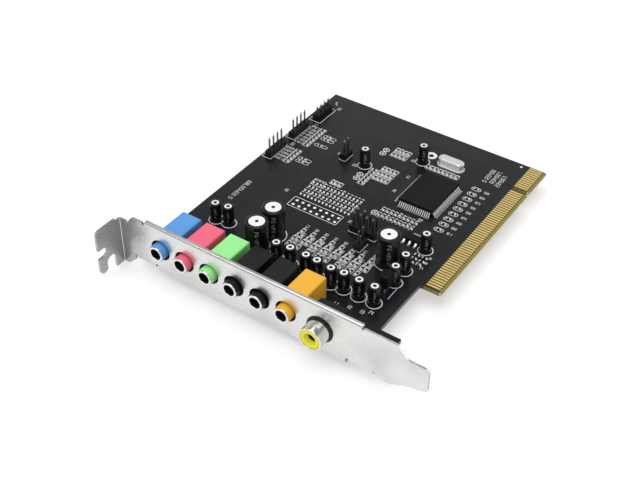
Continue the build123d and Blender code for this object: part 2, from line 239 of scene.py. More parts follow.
plasticLook = {
    "blotch": 260.0, "grain": 3600.0, "rough": (0.34, 0.48), "edge": 0.16, "bump": 0.012,
    "fixed": {"Specular IOR Level": 0.45},
}
plasticColors = {
    "bluePlastic": (0.105, 0.345, 0.78),
    "pinkPlastic": (0.93, 0.145, 0.235),
    "greenPlastic": (0.34, 0.93, 0.31),
    "blackPlastic": (0.0045, 0.004, 0.004),
    "orangePlastic": (0.93, 0.48, 0.034),
    "yellowPlastic": (1.0, 0.93, 0.055),
}
metalLooks = {
    "bracketSteel": {
        "dark": (0.66, 0.66, 0.65), "light": (0.78, 0.78, 0.77), "blotch": 240.0, "grain": 900.0,
        "stretch": (0.35, 1.0, 1.8), "rough": (0.24, 0.36), "edge": 0.10, "bump": 0.003,
        "smudge": (46.0, (0.8, 1.0, 1.2), (0.56, 0.56, 0.555)), "speck": (0.06, 420.0, (0.62, 0.62, 0.61)),
        # Painted shade and highlight: the tab and the plate's left end darker towards the tab, the partly
        # upturned faces of the bends duller, the tab's faces darker, and a painted highlight along the tab's
        # fold
        "tints": (
            ("place", "X", (-81.5, -94.5), (0.44, 0.44, 0.435)),
            ("facing", "Z", (0.5, 0.7, 0.9, 0.98), (0.50, 0.50, 0.495)),
            ("facing", "X", (0.75, 0.98), (0.36, 0.36, 0.35)),
            ("facing", "X", (0.1, 0.25, 0.9, 0.99), (1.0, 1.0, 0.99)),
        ),
        "fixed": {"Metallic": 1.0},
    },
    "nickel": {
        "dark": (0.66, 0.65, 0.63), "light": (0.80, 0.79, 0.77), "blotch": 300.0, "grain": 2200.0,
        "rough": (0.10, 0.2), "edge": 0.06, "bump": 0.003, "fixed": {"Metallic": 1.0},
    },
    "canMetal": {
        "dark": (0.84, 0.84, 0.83), "light": (0.93, 0.93, 0.92), "blotch": 260.0, "grain": 1800.0,
        "stretch": (0.4, 1.0, 1.0), "rough": (0.16, 0.28), "edge": 0.14, "bump": 0.003,
        "fixed": {"Metallic": 0.6},
    },
    "tin": {
        "dark": (0.72, 0.72, 0.72), "light": (0.88, 0.88, 0.87), "blotch": 700.0, "grain": 5000.0,
        "rough": (0.2, 0.36), "edge": 0.05, "bump": 0.004, "fixed": {"Metallic": 0.8},
    },
    "solder": {
        "dark": (0.84, 0.84, 0.84), "light": (0.96, 0.96, 0.95), "blotch": 900.0, "grain": 5000.0,
        "rough": (0.22, 0.36), "edge": 0.05, "bump": 0.004, "fixed": {"Metallic": 0.4},
    },
    # Dark metal: painted shade on the header posts' shafts and the jacks' side blades
    "postMetalPaintedShade": {
        "dark": (0.11, 0.105, 0.10), "light": (0.22, 0.21, 0.20), "blotch": 900.0, "grain": 4000.0,
        "rough": (0.2, 0.34), "edge": 0.05, "bump": 0.002, "fixed": {"Metallic": 1.0},
    },
    "gold": {
        "dark": (0.84, 0.64, 0.22), "light": (0.96, 0.79, 0.34), "blotch": 110.0, "grain": 1600.0,
        "stretch": (0.3, 1.0, 1.0), "rough": (0.24, 0.36), "edge": 0.04, "bump": 0.002,
        # Painted shade: each contact darker towards its two sides and lighter in its middle
        "tints": (("contact", "Y", (0.20, 0.44), (0.36, 0.235, 0.055)),),
        "fixed": {"Metallic": 0.45},
    },
    "canTop": {
        "dark": (0.92, 0.92, 0.92), "light": (0.98, 0.98, 0.98), "blotch": 500.0, "grain": 3000.0,
        "rough": (0.36, 0.5), "edge": 0.05, "bump": 0.004, "fixed": {"Metallic": 0.25},
    },
    "ventMetal": {
        "dark": (0.03, 0.03, 0.03), "light": (0.07, 0.07, 0.07), "blotch": 900.0, "grain": 3000.0,
        "rough": (0.4, 0.6), "edge": 0.04, "bump": 0.004, "fixed": {"Metallic": 1.0},
    },
}
darkLooks = {
    "sleeve": {
        **tonesOf((0.0055, 0.0055, 0.0065)), "blotch": 240.0, "grain": 1500.0,
        "rough": (0.2, 0.32), "edge": 0.05, "bump": 0.006, "fixed": {"Specular IOR Level": 0.32},
    },
    "sleevePrint": {
        **tonesOf((0.24, 0.24, 0.25)), "blotch": 900.0, "grain": 2600.0,
        "rough": (0.3, 0.42), "edge": 0.03, "bump": 0.004,
    },
    "chipPlastic": {
        **tonesOf((0.0055, 0.0055, 0.006)), "blotch": 500.0, "grain": 6500.0,
        "rough": (0.38, 0.52), "edge": 0.12, "bump": 0.008, "fixed": {"Specular IOR Level": 0.14},
    },
    "headerPlastic": {
        **tonesOf((0.006, 0.006, 0.0065)), "blotch": 500.0, "grain": 4000.0,
        "rough": (0.36, 0.5), "edge": 0.12, "bump": 0.006, "fixed": {"Specular IOR Level": 0.25},
    },
    # Near-black and rough: painted shade for the jack bores, the rings in the gaps round the noses and the
    # phono centre contact
    "paintedShadeBlack": {
        **tonesOf((0.004, 0.004, 0.004)), "blotch": 500.0, "grain": 4000.0,
        "rough": (0.7, 0.85), "edge": 0.05, "bump": 0.004, "fixed": {"Specular IOR Level": 0.15},
    },
    "ceramic": {
        **tonesOf((0.22, 0.17, 0.12), 0.7), "blotch": 700.0, "grain": 4000.0,
        "rough": (0.4, 0.55), "edge": 0.05, "bump": 0.004,
    },
    "resistorGlaze": {
        **tonesOf((0.007, 0.007, 0.008)), "blotch": 700.0, "grain": 4000.0,
        "rough": (0.2, 0.3), "edge": 0.04, "bump": 0.002,
    },
    "ink": {
        **tonesOf((0.93, 0.93, 0.92), 0.84), "blotch": 900.0, "grain": 5000.0,
        "rough": (0.45, 0.6), "edge": 0.02, "bump": 0.004,
    },
    "maskTrack": {
        **tonesOf((0.021, 0.0228, 0.0265)), "blotch": 300.0, "grain": 2500.0,
        "rough": (0.2, 0.3), "edge": 0.02, "bump": 0.002, "fixed": {"Specular IOR Level": 0.4},
    },
}

finishes = {}
for label, color in plasticColors.items():
    look = {**plasticLook, **tonesOf(color, 0.93)}
    if label == "blackPlastic":
        look["fixed"] = {"Specular IOR Level": 0.3}
    finishes[label] = makeFinish(label, look)
for label, look in {**metalLooks, **darkLooks}.items():
    finishes[label] = makeFinish(label, look)

# Board: glossy mask on both faces, bare laminate on the tongue and on every cut edge
boardLook = {
    "maskDark": (0.0080, 0.0092, 0.0112), "maskLight": (0.0120, 0.0134, 0.0160),
    "laminate": (0.040, 0.028, 0.007), "bevel": (0.27, 0.215, 0.055), "cut": (0.030, 0.024, 0.010),
    "tongueCut": (0.27, 0.23, 0.085),
    "edgeDark": (0.58, 0.60, 0.42), "edgeLight": (0.76, 0.78, 0.60),
    "bareFrom": (-0.35, -1.6), "outerFrom": 5.45, "maskRough": (0.16, 0.24),
    "grain": 1400.0, "weave": 2400.0, "bump": 0.004,
}


def makeBoardFinish(look):
    material, nodes, links = startMaterial("boardMask")
    shader = nodes["Principled BSDF"]
    shader.inputs["Specular IOR Level"].default_value = 0.38
    place = nodes.new("ShaderNodeTexCoord")
    axes = nodes.new("ShaderNodeSeparateXYZ")
    links.new(place.outputs["Object"], axes.inputs["Vector"])
    surface = nodes.new("ShaderNodeNewGeometry")
    facing = nodes.new("ShaderNodeSeparateXYZ")
    links.new(surface.outputs["Normal"], facing.inputs["Vector"])
    steep = mathNode(nodes, links, "ABSOLUTE", facing.outputs["Z"])
    onFace = mathNode(nodes, links, "GREATER_THAN", steep, 0.5)
    pastContacts = mathNode(nodes, links, "GREATER_THAN", axes.outputs["X"], look["bareFrom"][0] * mm)
    onTongue = mathNode(nodes, links, "GREATER_THAN", axes.outputs["Y"], look["bareFrom"][1] * mm)
    bare = mathNode(nodes, links, "MULTIPLY", pastContacts, onTongue)
    grain = placeGroup(nodes, fineGrain, Scale=look["grain"])
    weave = placeGroup(nodes, fineGrain, Scale=look["weave"], Stretch=(0.3, 0.3, 2.0))
    mask = mixColors(nodes, links, grain.outputs["Grain"], look["maskDark"], look["maskLight"])
    edge = mixColors(nodes, links, weave.outputs["Grain"], look["edgeDark"], look["edgeLight"])
    face = mixColors(nodes, links, bare, mask, look["laminate"])
    farOut = mathNode(nodes, links, "GREATER_THAN", axes.outputs["X"], look["outerFrom"] * mm)
    outer = mathNode(nodes, links, "MULTIPLY", farOut, onTongue)
    face = mixColors(nodes, links, outer, face, look["bevel"])
    cut = mixColors(nodes, links, bare, look["cut"], look["tongueCut"])
    edge = mixColors(nodes, links, outer, cut, edge)
    links.new(mixColors(nodes, links, onFace, edge, face), shader.inputs["Base Color"])
    rough = spreadValue(nodes, links, grain.outputs["Grain"], *look["maskRough"])
    links.new(rough, shader.inputs["Roughness"])
    normal = softEdgeBump(nodes, links, grain.outputs["Grain"], 0.08, look["bump"])
    links.new(normal, shader.inputs["Normal"])
    return material


finishes["boardMask"] = makeBoardFinish(boardLook)
print("finishes made:", len(finishes))


# Finishes of the CAD nodes that stay in view
jackColors = {
    "line_in": "blue", "mic_in": "pink", "front_out": "green",
    "rear_out": "black", "side_out": "black", "center_out": "orange",
}
nodeFinishes = {
    "circuit_board": "boardMask",
    "edge_contacts_top": "gold",
    "edge_contacts_bottom": "gold",
    "bracket": "bracketSteel",
    "phono_housing": "blackPlastic",
    "audio_chip": "chipPlastic",
    "audio_chip_leads": "tin",
    "crystal_base": "canMetal",
    "crystal_can": "canMetal",
    "regulator_body": "chipPlastic",
    "regulator_leads": "tin",
    "transistor_body": "chipPlastic",
    "transistor_leads": "tin",
}
for jack, color in jackColors.items():
    nodeFinishes[f"{jack}_jack_housing"] = f"{color}Plastic"
for name in frame["nodes"]:
    if name.endswith("_base") or "_base_" in name:
        nodeFinishes.setdefault(name, "headerPlastic")
for name, finish in nodeFinishes.items():
    node = frame["nodes"][name]
    node.data.materials.clear()
    node.data.materials.append(finishes[finish])


# Mesh helpers, all in millimetres
def addPiece(name, bm, finishNames, replaced=(), sharpAngle=35.0):
    bmesh.ops.recalc_face_normals(bm, faces=bm.faces)
    bmesh.ops.scale(bm, vec=(mm, mm, mm), verts=bm.verts)
    mesh = bpy.data.meshes.new(name)
    bm.to_mesh(mesh)
    bm.free()
    for finish in finishNames:
        mesh.materials.append(finishes[finish])
    mesh.shade_smooth()
    mesh.set_sharp_from_angle(angle=math.radians(sharpAngle))
    piece = bpy.data.objects.new(name, mesh)
    bpy.context.scene.collection.objects.link(piece)
    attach(piece, "root")
    if replaced:
        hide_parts(*replaced)
    return piece


upward = Matrix.Identity(3)
outward = Matrix(((1, 0, 0), (0, 0, -1), (0, 1, 0)))  # a turned piece's axis along -Y
downward = Matrix(((1, 0, 0), (0, -1, 0), (0, 0, -1)))


# A turned solid from (radius, height) points; closed joins the last point to the first
def turned(bm, profile, place, axis=upward, sides=48, closed=False, slotOf=None):
    rings = []
    for radius, height in profile:
        if radius == 0:
            rings.append([bm.verts.new(place + axis @ Vector((0, 0, height)))])
            continue
        turn = [2 * math.pi * k / sides for k in range(sides)]
        points = [Vector((radius * math.cos(a), radius * math.sin(a), height)) for a in turn]
        rings.append([bm.verts.new(place + axis @ point) for point in points])
    pairs = list(zip(rings, rings[1:]))
    if closed:
        pairs.append((rings[-1], rings[0]))
    for step, (lower, upper) in enumerate(pairs):
        for k in range(sides):
            corners = [lower[k % len(lower)], lower[(k + 1) % sides % len(lower)]]
            corners += [upper[(k + 1) % sides % len(upper)], upper[k % len(upper)]]
            face = bm.faces.new(list(dict.fromkeys(corners)))
            face.material_index = slotOf(step, k) if slotOf else 0


def block(bm, low, high, softness=0.0, slotIndex=0):
    part = bmesh.new()
    bmesh.ops.create_cube(part, size=1.0)
    size = Vector(high) - Vector(low)
    bmesh.ops.scale(part, vec=size, verts=part.verts)
    bmesh.ops.translate(part, vec=Vector(low) + size / 2, verts=part.verts)
    if softness:
        bmesh.ops.bevel(part, geom=part.edges[:], offset=softness, segments=2, profile=0.6, affect="EDGES")
    for face in part.faces:
        face.material_index = slotIndex
    stamp(bm, shapeOf(part), Matrix.Identity(4))


def prism(bm, outline, low, high, slotIndex=0):
    lower = [bm.verts.new((x, y, low)) for x, y in outline]
    upper = [bm.verts.new((x, y, high)) for x, y in outline]
    count = len(outline)
    faces = [bm.faces.new(lower), bm.faces.new(upper)]
    for k in range(count):
        after = (k + 1) % count
        faces.append(bm.faces.new((lower[k], lower[after], upper[after], upper[k])))
    for face in faces:
        face.material_index = slotIndex


def shapeOf(part):
    part.verts.index_update()
    points = [vert.co.copy() for vert in part.verts]
    faces = [([vert.index for vert in face.verts], face.material_index) for face in part.faces]
    part.free()
    return points, faces


def stamp(bm, shape, place):
    points, faces = shape
    made = [bm.verts.new(place @ point) for point in points]
    for corners, slotIndex in faces:
        face = bm.faces.new([made[k] for k in corners])
        face.material_index = slotIndex


def standing(x, y, z=0.0, turn=0.0):
    return Matrix.Translation((x, y, z)) @ Matrix.Rotation(math.radians(turn), 4, "Z")


# A flat stroke of ink or copper between two points
def stroke(bm, start, end, width, low, high):
    a, b = Vector(start), Vector(end)
    along = (b - a).normalized() * width / 2
    across = Vector((-along.y, along.x))
    corners = (a - along - across, b + along - across, b + along + across, a - along + across)
    prism(bm, [(p.x, p.y) for p in corners], low, high)


def flatRing(bm, place, inner, outer, low, high, start=0.0, sweep=360.0, steps=48):
    whole = sweep >= 360.0
    count = steps if whole else steps + 1
    rows = []
    for k in range(count):
        angle = math.radians(start + sweep * k / steps)
        way = Vector((math.cos(angle), math.sin(angle)))
        rows.append([bm.verts.new((place[0] + r * way.x, place[1] + r * way.y, z))
                     for r, z in ((inner, low), (outer, low), (outer, high), (inner, high))])
    for k in range(steps):
        one, two = rows[k], rows[(k + 1) % count]
        for side in range(4):
            after = (side + 1) % 4
            bm.faces.new((one[side], one[after], two[after], two[side]))
    if not whole:
        bm.faces.new(rows[0])
        bm.faces.new(rows[-1])


# Jack ferrules: a dished ring on each nose with a sleeve down the bore; the ring's bore, its funnel and the
# sleeve are near-black, as painted shade in the bore
ferrule = {
    "bore": 1.75, "throat": 2.08, "rim": 2.88, "stand": 0.3, "depth": 0.8, "boreShade": 13.9, "sides": 56,
}
# Painted shade: the dark rings that sit in the gaps round the noses
gapShade = {"inner": 3.04, "outer": 3.86, "at": -40.36, "thick": 0.07}


def buildFerrule(jack):
    mouth = mounts[f"{jack}_bore"]
    front = nodeBox(f"{jack}_jack_housing")[0].y
    bore, rim, stand = ferrule["bore"], ferrule["rim"], ferrule["stand"]
    throat, depth = ferrule["throat"], ferrule["depth"]
    profile = (
        (bore + 0.04, -depth), (bore, -depth), (bore, 0.02), (throat, stand - 0.12),
        (throat + 0.04, stand - 0.03), (throat + 0.12, stand), (rim - 0.14, stand),
        (rim - 0.03, stand - 0.06), (rim, stand - 0.18), (rim, 0.005), (bore + 0.04, 0.005),
    )
    place = Vector((mouth.x, front, mouth.z))
    bm = bmesh.new()
    # The bore and its funnel take the near-black finish: painted shade
    turned(bm, profile, place, outward, ferrule["sides"], True, lambda step, k: 1 if step in (1, 2) else 0)
    boreShade = ((bore + 0.04, -ferrule["boreShade"]), (bore + 0.04, -depth - 0.02), (bore, -depth - 0.02),
              (bore, -ferrule["boreShade"]))
    turned(bm, boreShade, place, outward, ferrule["sides"], True, lambda step, k: 1)
    addPiece(f"{jack}_ferrule", bm, ("nickel", "paintedShadeBlack"))


# Painted shade: dark rings in the ring gaps between the noses and the bracket, standing for the shade there
def buildGapShades():
    bm = bmesh.new()
    inner, outer, thick = gapShade["inner"], gapShade["outer"], gapShade["thick"]
    for jack in jackColors:
        mouth = mounts[f"{jack}_bore"]
        profile = ((inner, 0.0), (outer, 0.0), (outer, 0.7 * thick), (outer - 0.1, thick), (inner, thick))
        turned(bm, profile, Vector((mouth.x, gapShade["at"], mouth.z)), outward, ferrule["sides"], closed=True)
    addPiece("jackGapShades", bm, ("paintedShadeBlack",))


for jack in jackColors:
    buildFerrule(jack)
buildGapShades()
print("ferrules made")


# Phono socket: a barrel with a rolled lip, and a moulded insert with a funnel in its face
phono = {
    "barrel": 4.15, "wall": 0.5, "lip": 0.32, "neck": 3.9, "funnel": 2.3, "pin": 1.7,
    "funnelDepth": 1.1, "insertStep": 0.12, "sleeveStep": 0.65, "sides": 72,
}


def buildPhono():
    low, high = nodeBox("phono_shell")
    axisX, axisZ = (low.x + high.x) / 2, (low.z + high.z) / 2
    length = high.y - low.y

    def turnPart(name, profile, finish, replaced=()):
        bm = bmesh.new()
        turned(bm, profile, Vector((axisX, high.y, axisZ)), outward, phono["sides"], closed=True)
        addPiece(name, bm, (finish,), replaced)

    neckLength = high.y - nodeBox("phono_housing")[0].y
    outer, inner, lip = phono["barrel"], phono["barrel"] - phono["wall"], phono["lip"]
    arc = [(outer - lip + lip * math.cos(a), length - lip + lip * math.sin(a))
           for a in (math.pi / 2 * k / 6 for k in range(7))]
    profile = [(inner, 0.0), (phono["neck"], 0.0), (phono["neck"], neckLength), (outer, neckLength + 0.01)]
    profile += arc + [(inner + 0.06, length - 0.02), (inner, length - 0.14)]
    turnPart("phonoBarrel", profile, "nickel", ("phono_shell",))
    face = length - phono["insertStep"]
    funnelFloor = face - phono["funnelDepth"]
    reach = inner - 0.01
    profile = (
        (reach, 0.0), (reach, face - 0.18), (reach - 0.05, face - 0.06), (reach - 0.14, face),
        (phono["funnel"], face), (phono["funnel"] - 0.12, face - 0.05),
        (phono["pin"] + 0.2, funnelFloor), (phono["pin"], funnelFloor - 0.05), (phono["pin"], 0.0),
    )
    turnPart("phonoInsert", profile, "yellowPlastic", ("phono_insert",))
    sleeve, sleeveTop = phono["pin"] - 0.01, funnelFloor - phono["sleeveStep"]
    profile = (
        (sleeve, 0.0), (sleeve, sleeveTop), (sleeve - 0.04, sleeveTop + 0.02),
        (sleeve - 0.08, sleeveTop), (sleeve - 0.08, 0.0),
    )
    # The centre contact's shape is real; its near-black is painted shade in the pin hole
    turnPart("phonoCentreContact", profile, "paintedShadeBlack")


buildPhono()
print("phono socket made")


# Side blades of the jacks: bent strips that come out of each flank and go into the board
blades = {"out": 0.42, "thick": 0.24, "half": 0.8, "rise": 2.4, "back": (5.2, 10.4)}


def buildBlades():
    bm = bmesh.new()
    for jack in jackColors:
        low, high = nodeBox(f"{jack}_jack_housing")
        for back in blades["back"]:
            y = high.y - back
            for side, wall in ((-1, low.x), (1, high.x)):
                near, far = sorted((wall + side * 0.01, wall + side * blades["out"]))
                edge = sorted((wall + side * (blades["out"] - blades["thick"]), wall + side * blades["out"]))
                block(bm, (near, y - blades["half"], blades["rise"] - blades["thick"]),
                      (far, y + blades["half"], blades["rise"]), 0.05)
                block(bm, (edge[0], y - blades["half"], 0.005),
                      (edge[1], y + blades["half"], blades["rise"] - 0.05), 0.05)
    # The blades take the dark post metal: painted shade between the housings
    addPiece("jackBlades", bm, ("postMetalPaintedShade",))


buildBlades()


# Radial capacitors: a shrunk sleeve with a crimp and a rolled top lip, bare top, vent, printed marks
capacitorLooks = {
    "large": {
        "top": 2.78, "vent": 0.66, "crimpAt": 1.5, "crimp": 0.14, "lip": 0.62,
        "dash": 0.42, "gap": 0.2, "sides": 72,
    },
    "small": {
        "top": 1.3, "vent": 0.66, "crimpAt": 1.1, "crimp": 0.09, "lip": 0.40,
        "dash": 0.34, "gap": 0.16, "sides": 48,
    },
}
printFacing = math.radians(-56.0)  # the printed band's middle
printReach = math.radians(12.0)


def buildCapacitor(node, look):
    low, high = nodeBox(node)
    radius, height = (high.x - low.x) / 2, high.z - low.z
    crimpAt, lip, topAt = look["crimpAt"], look["lip"], height - 0.14
    profile = [
        (0, 0.04), (radius - 0.3, 0.04), (radius - 0.1, 0.12), (radius - 0.02, 0.35),
        (radius, crimpAt - 0.4), (radius - look["crimp"], crimpAt), (radius, crimpAt + 0.4),
    ]
    wallFrom, wallTo = crimpAt + 0.8, height - lip - 0.6
    inkSteps = set()
    at = wallFrom
    while at + look["dash"] < wallTo:
        inkSteps.add(len(profile))
        profile += [(radius, at), (radius, at + look["dash"])]
        at += look["dash"] + look["gap"]
    lipSteps = 5
    for k in range(lipSteps + 1):
        angle = math.pi / 2 * k / lipSteps
        profile.append((radius - lip * (1 - math.cos(angle)), height - lip * (1 - math.sin(angle))))
    profile += [(look["top"] + 0.08, height - 0.02), (look["top"], topAt)]
    topStep = len(profile) - 1
    profile += [(0.75 * look["top"], topAt + 0.015), (look["vent"], topAt + 0.01)]
    ventStep = len(profile) - 1
    profile += [(0.8 * look["vent"], topAt - 0.14), (0, topAt - 0.16)]
    sides = look["sides"]

    def slotOf(step, k):
        middle = 2 * math.pi * (k + 0.5) / sides
        away = abs((middle - printFacing + math.pi) % (2 * math.pi) - math.pi)
        if step in inkSteps and away < printReach and (step * 5 + k * 3 + step * k) % 7 < 4:
            return 2
        if step >= ventStep:
            return 3
        return 1 if step >= topStep else 0

    bm = bmesh.new()
    place = Vector(((low.x + high.x) / 2, (low.y + high.y) / 2, low.z))
    turned(bm, profile, place, upward, sides, slotOf=slotOf)
    finishNames = ("sleeve", "canTop", "sleevePrint", "ventMetal")
    addPiece(f"{node}_can", bm, finishNames, (node,))


capacitorNodes = {}
for name in sorted(frame["nodes"]):
    if name.startswith("filter_capacitor"):
        capacitorNodes[name] = "large"
    elif name.startswith("coupling_capacitor"):
        capacitorNodes[name] = "small"
for name, kind in capacitorNodes.items():
    buildCapacitor(name, capacitorLooks[kind])
print("capacitors made:", len(capacitorNodes))


# Header posts with pointed tips; the shafts in a dark metal, darker than the tin tips, as painted shade
posts = {
    "pitch": 2.54, "side": 0.52, "foot": -2.9, "tip": 0.6, "tipSide": 0.26,
    "lowerTops": {"side_header_base_3": 6.0},
}


def postPlaces():
    places = []
    for name in frame["nodes"]:
        if ("header" in name and name.endswith("_base")) or "_base_" in name:
            low, high = nodeBox(name)
            across = max(1, round((high.x - low.x) / posts["pitch"]))
            along = max(1, round((high.y - low.y) / posts["pitch"]))
            middleX, middleY = (low.x + high.x) / 2, (low.y + high.y) / 2
            for i in range(across):
                for k in range(along):
                    x = middleX + posts["pitch"] * (i - (across - 1) / 2)
                    y = middleY + posts["pitch"] * (k - (along - 1) / 2)
                    places.append((x, y, name))
    return places


headerPosts = postPlaces()


def buildPosts():
    bm = bmesh.new()
    half, tipHalf = posts["side"] / 2, posts["tipSide"] / 2
    for x, y, name in headerPosts:
        top = posts["lowerTops"].get(name, nodeBox("header_pins")[1].z)
        levels = ((posts["foot"], tipHalf), (posts["foot"] + posts["tip"], half), (top - posts["tip"], half),
                  (top, tipHalf))
        rows = [[bm.verts.new((x + h * a, y + h * b, z)) for a, b in ((-1, -1), (1, -1), (1, 1), (-1, 1))]
                for z, h in levels]
        bm.faces.new(rows[0])
        bm.faces.new(rows[-1])
        for level, (one, two) in enumerate(zip(rows, rows[1:])):
            for k in range(4):
                after = (k + 1) % 4
                face = bm.faces.new((one[k], one[after], two[after], two[k]))
                face.material_index = 0 if level == 1 else 1
    addPiece("headerPosts", bm, ("postMetalPaintedShade", "tin"), ("header_pins",), sharpAngle=20.0)


buildPosts()
print("header posts made:", len(headerPosts))


# Board screws: pan heads with a cross recess
screws = {"headRadius": 2.3, "crown": 0.55, "slotWide": 0.62, "slotLong": 1.45, "slotDeep": 0.9, "sides": 48}


def buildScrews():
    low, high = nodeBox("bracket_screws")
    reach = screws["headRadius"]
    places = [Vector((low.x + reach, low.y + reach, 0)), Vector((high.x - reach, low.y + reach, 0))]
    bm = bmesh.new()
    cutters = bmesh.new()
    for place in places:
        top, crown = high.z, screws["crown"]
        profile = [(0, low.z), (0.7, low.z), (1.2, low.z + 0.6), (1.2, 0.0), (reach, 0.0)]
        profile += [(reach, top - crown), (reach - 0.12, top - 0.6 * crown)]
        profile += [(reach - 0.5, top - 0.2 * crown), (reach - 1.1, top - 0.04), (0, top)]
        turned(bm, profile, place, upward, screws["sides"])
        wide, long, deep = screws["slotWide"] / 2, screws["slotLong"], screws["slotDeep"]
        for a, b in ((long, wide), (wide, long)):
            block(cutters, (place.x - a, place.y - b, top - deep), (place.x + a, place.y + b, top + 1))
    tool = bpy.data.objects.new("recessCutter", bpy.data.meshes.new("recessCutter"))
    bmesh.ops.recalc_face_normals(cutters, faces=cutters.faces)
    bmesh.ops.scale(cutters, vec=(mm, mm, mm), verts=cutters.verts)
    cutters.to_mesh(tool.data)
    cutters.free()
    bpy.context.scene.collection.objects.link(tool)
    piece = addPiece("boardScrews", bm, ("nickel",), ("bracket_screws",))
    cut = piece.modifiers.new("recess", "BOOLEAN")
    cut.operation = "DIFFERENCE"
    cut.solver = "EXACT"
    cut.use_self = True
    cut.object = tool
    bpy.context.view_layer.update()
    evaluated = piece.evaluated_get(bpy.context.evaluated_depsgraph_get())
    whole = bpy.data.meshes.new_from_object(evaluated)
    piece.modifiers.clear()
    piece.data = whole
    bpy.data.objects.remove(tool)


buildScrews()
print("screws made")


# Chip parts in blocks: middle, step, count, long side, every nth a capacitor, framed in print
chipPart = {"length": 1.6, "width": 0.78, "terminal": 0.36, "resistorHigh": 0.46, "capacitorHigh": 0.74}
partBlocks = {
    "rowsA": ((-50.9, 20.5), (1.58, 2.75), (14, 4), "Y", 9, False),
    "bumpA": ((-54.0, 28.2), (1.7, 2.7), (3, 1), "Y", 4, True),
    "sideUpper": ((-77.2, 47.8), (3.3, 1.95), (1, 7), "X", 8, True),
    "sideUpperBar": ((-72.4, 49.8), (2.9, 1.8), (1, 2), "X", 2, False),
    "sideLowerBar": ((-72.4, 44.5), (2.9, 1.8), (1, 1), "X", 2, False),
    "sideLower": ((-77.2, 33.0), (3.3, 1.95), (1, 5), "X", 8, True),
    "sideBar": ((-72.4, 32.8), (2.9, 1.8), (1, 2), "X", 3, False),
    "nearJumper": ((-47.0, 38.4), (2.0, 1.9), (1, 6), "X", 7, True),
    "behindChip": ((-42.0, 42.8), (1.7, 3.2), (4, 3), "Y", 7, True),
    "farGroup": ((-44.0, 57.5), (1.75, 3.2), (4, 2), "Y", 7, True),
    "crystalRow": ((-25.8, 56.6), (1.75, 2.0), (8, 1), "Y", 7, True),
    "tongueColumn": ((-10.4, 40.5), (2.0, 3.5), (1, 9), "X", 5, False),
    "chipFront": ((-25.0, 23.7), (1.7, 3.3), (9, 2), "Y", 5, False),
    "powerGroup": ((-8.3, 8.4), (2.9, 2.1), (2, 3), "X", 4, False),
}


def chipPartShape(high, bodySlot):
    part = bmesh.new()
    half, side, cap = chipPart["length"] / 2, chipPart["width"] / 2, chipPart["terminal"]
    block(part, (cap - half - 0.02, -side, 0.05), (half - cap + 0.02, side, high - 0.02), 0.03, bodySlot)
    for way in (-1, 1):
        inner, outer = sorted((way * (half - cap), way * half))
        block(part, (inner, -side - 0.01, 0.02), (outer, side + 0.01, high), 0.06, 2)
        toe = sorted((way * (half - 0.05), way * (half + 0.34)))
        block(part, (toe[0], -side + 0.04, 0.0), (toe[1], side - 0.04, 0.11), 0.05, 2)
    return shapeOf(part)


resistorShape = chipPartShape(chipPart["resistorHigh"], 0)
ceramicShape = chipPartShape(chipPart["capacitorHigh"], 1)
partPlaces = []


def buildPartBlock(name, middle, step, count, long, capacitorEvery, framed):
    bm = bmesh.new()
    across, along = count
    turn = 90.0 if long == "Y" else 0.0
    for i in range(across):
        for k in range(along):
            x = middle[0] + step[0] * (i - (across - 1) / 2)
            y = middle[1] + step[1] * (k - (along - 1) / 2)
            shape = resistorShape
            if (i * along + k) % capacitorEvery == capacitorEvery - 1:
                shape = ceramicShape
            stamp(bm, shape, standing(x, y, boardHigh.z, turn))
            partPlaces.append((x, y, long, framed))
    addPiece(f"chipParts_{name}", bm, ("resistorGlaze", "ceramic", "solder"))


# Tapered groups: two pairs side by side, a crosswise part, then one part at the narrow end
tapers = {
    "first": -48.3, "step": 3.95, "count": 8, "half": 0.88, "rows": (-9.0, -5.7), "cross": -3.4, "end": -1.0,
}


def buildTapers():
    bm = bmesh.new()
    for k in range(tapers["count"]):
        x = tapers["first"] + tapers["step"] * k
        spots = [(x + side * tapers["half"], y, "Y") for y in tapers["rows"] for side in (-1, 1)]
        spots += [(x, tapers["cross"], "X"), (x - 0.3, tapers["end"], "Y")]
        if k % 3 == 1:
            spots.pop(1)
        for place, (a, b, long) in enumerate(spots):
            shape = ceramicShape if (k + place) % 7 == 6 else resistorShape
            stamp(bm, shape, standing(a, b, boardHigh.z, 90.0 if long == "Y" else 0.0))
            partPlaces.append((a, b, long, True))
    addPiece("chipParts_tapers", bm, ("resistorGlaze", "ceramic", "solder"))


for name, look in partBlocks.items():
    buildPartBlock(name, *look)
buildTapers()
print("chip parts made:", len(partPlaces))


# White board print: part outlines, polarity rings, header frames, plain numbers
printLook = {"thick": 0.02, "line": 0.2, "fine": 0.17, "partLong": 2.7, "partWide": 1.45}
digitStrokes = {
    "1": "bc", "2": "abged", "3": "abgcd", "4": "fgbc", "5": "afgcd",
    "6": "afgecd", "7": "abc", "8": "abcdefg", "9": "abcdfg", "0": "abcdef",
}
strokeEnds = {
    "a": ((0, 2), (1, 2)), "b": ((1, 2), (1, 1)), "c": ((1, 1), (1, 0)), "d": ((0, 0), (1, 0)),
    "e": ((0, 1), (0, 0)), "f": ((0, 2), (0, 1)), "g": ((0, 1), (1, 1)),
}
ink = bmesh.new()
inkLow, inkHigh = boardHigh.z, boardHigh.z + printLook["thick"]


def inkStroke(start, end, width=printLook["line"]):
    stroke(ink, start, end, width, inkLow, inkHigh)


def inkFrame(x0, y0, x1, y1, width=printLook["line"]):
    corners = ((x0, y0), (x1, y0), (x1, y1), (x0, y1))
    for k in range(4):
        inkStroke(corners[k], corners[(k + 1) % 4], width)


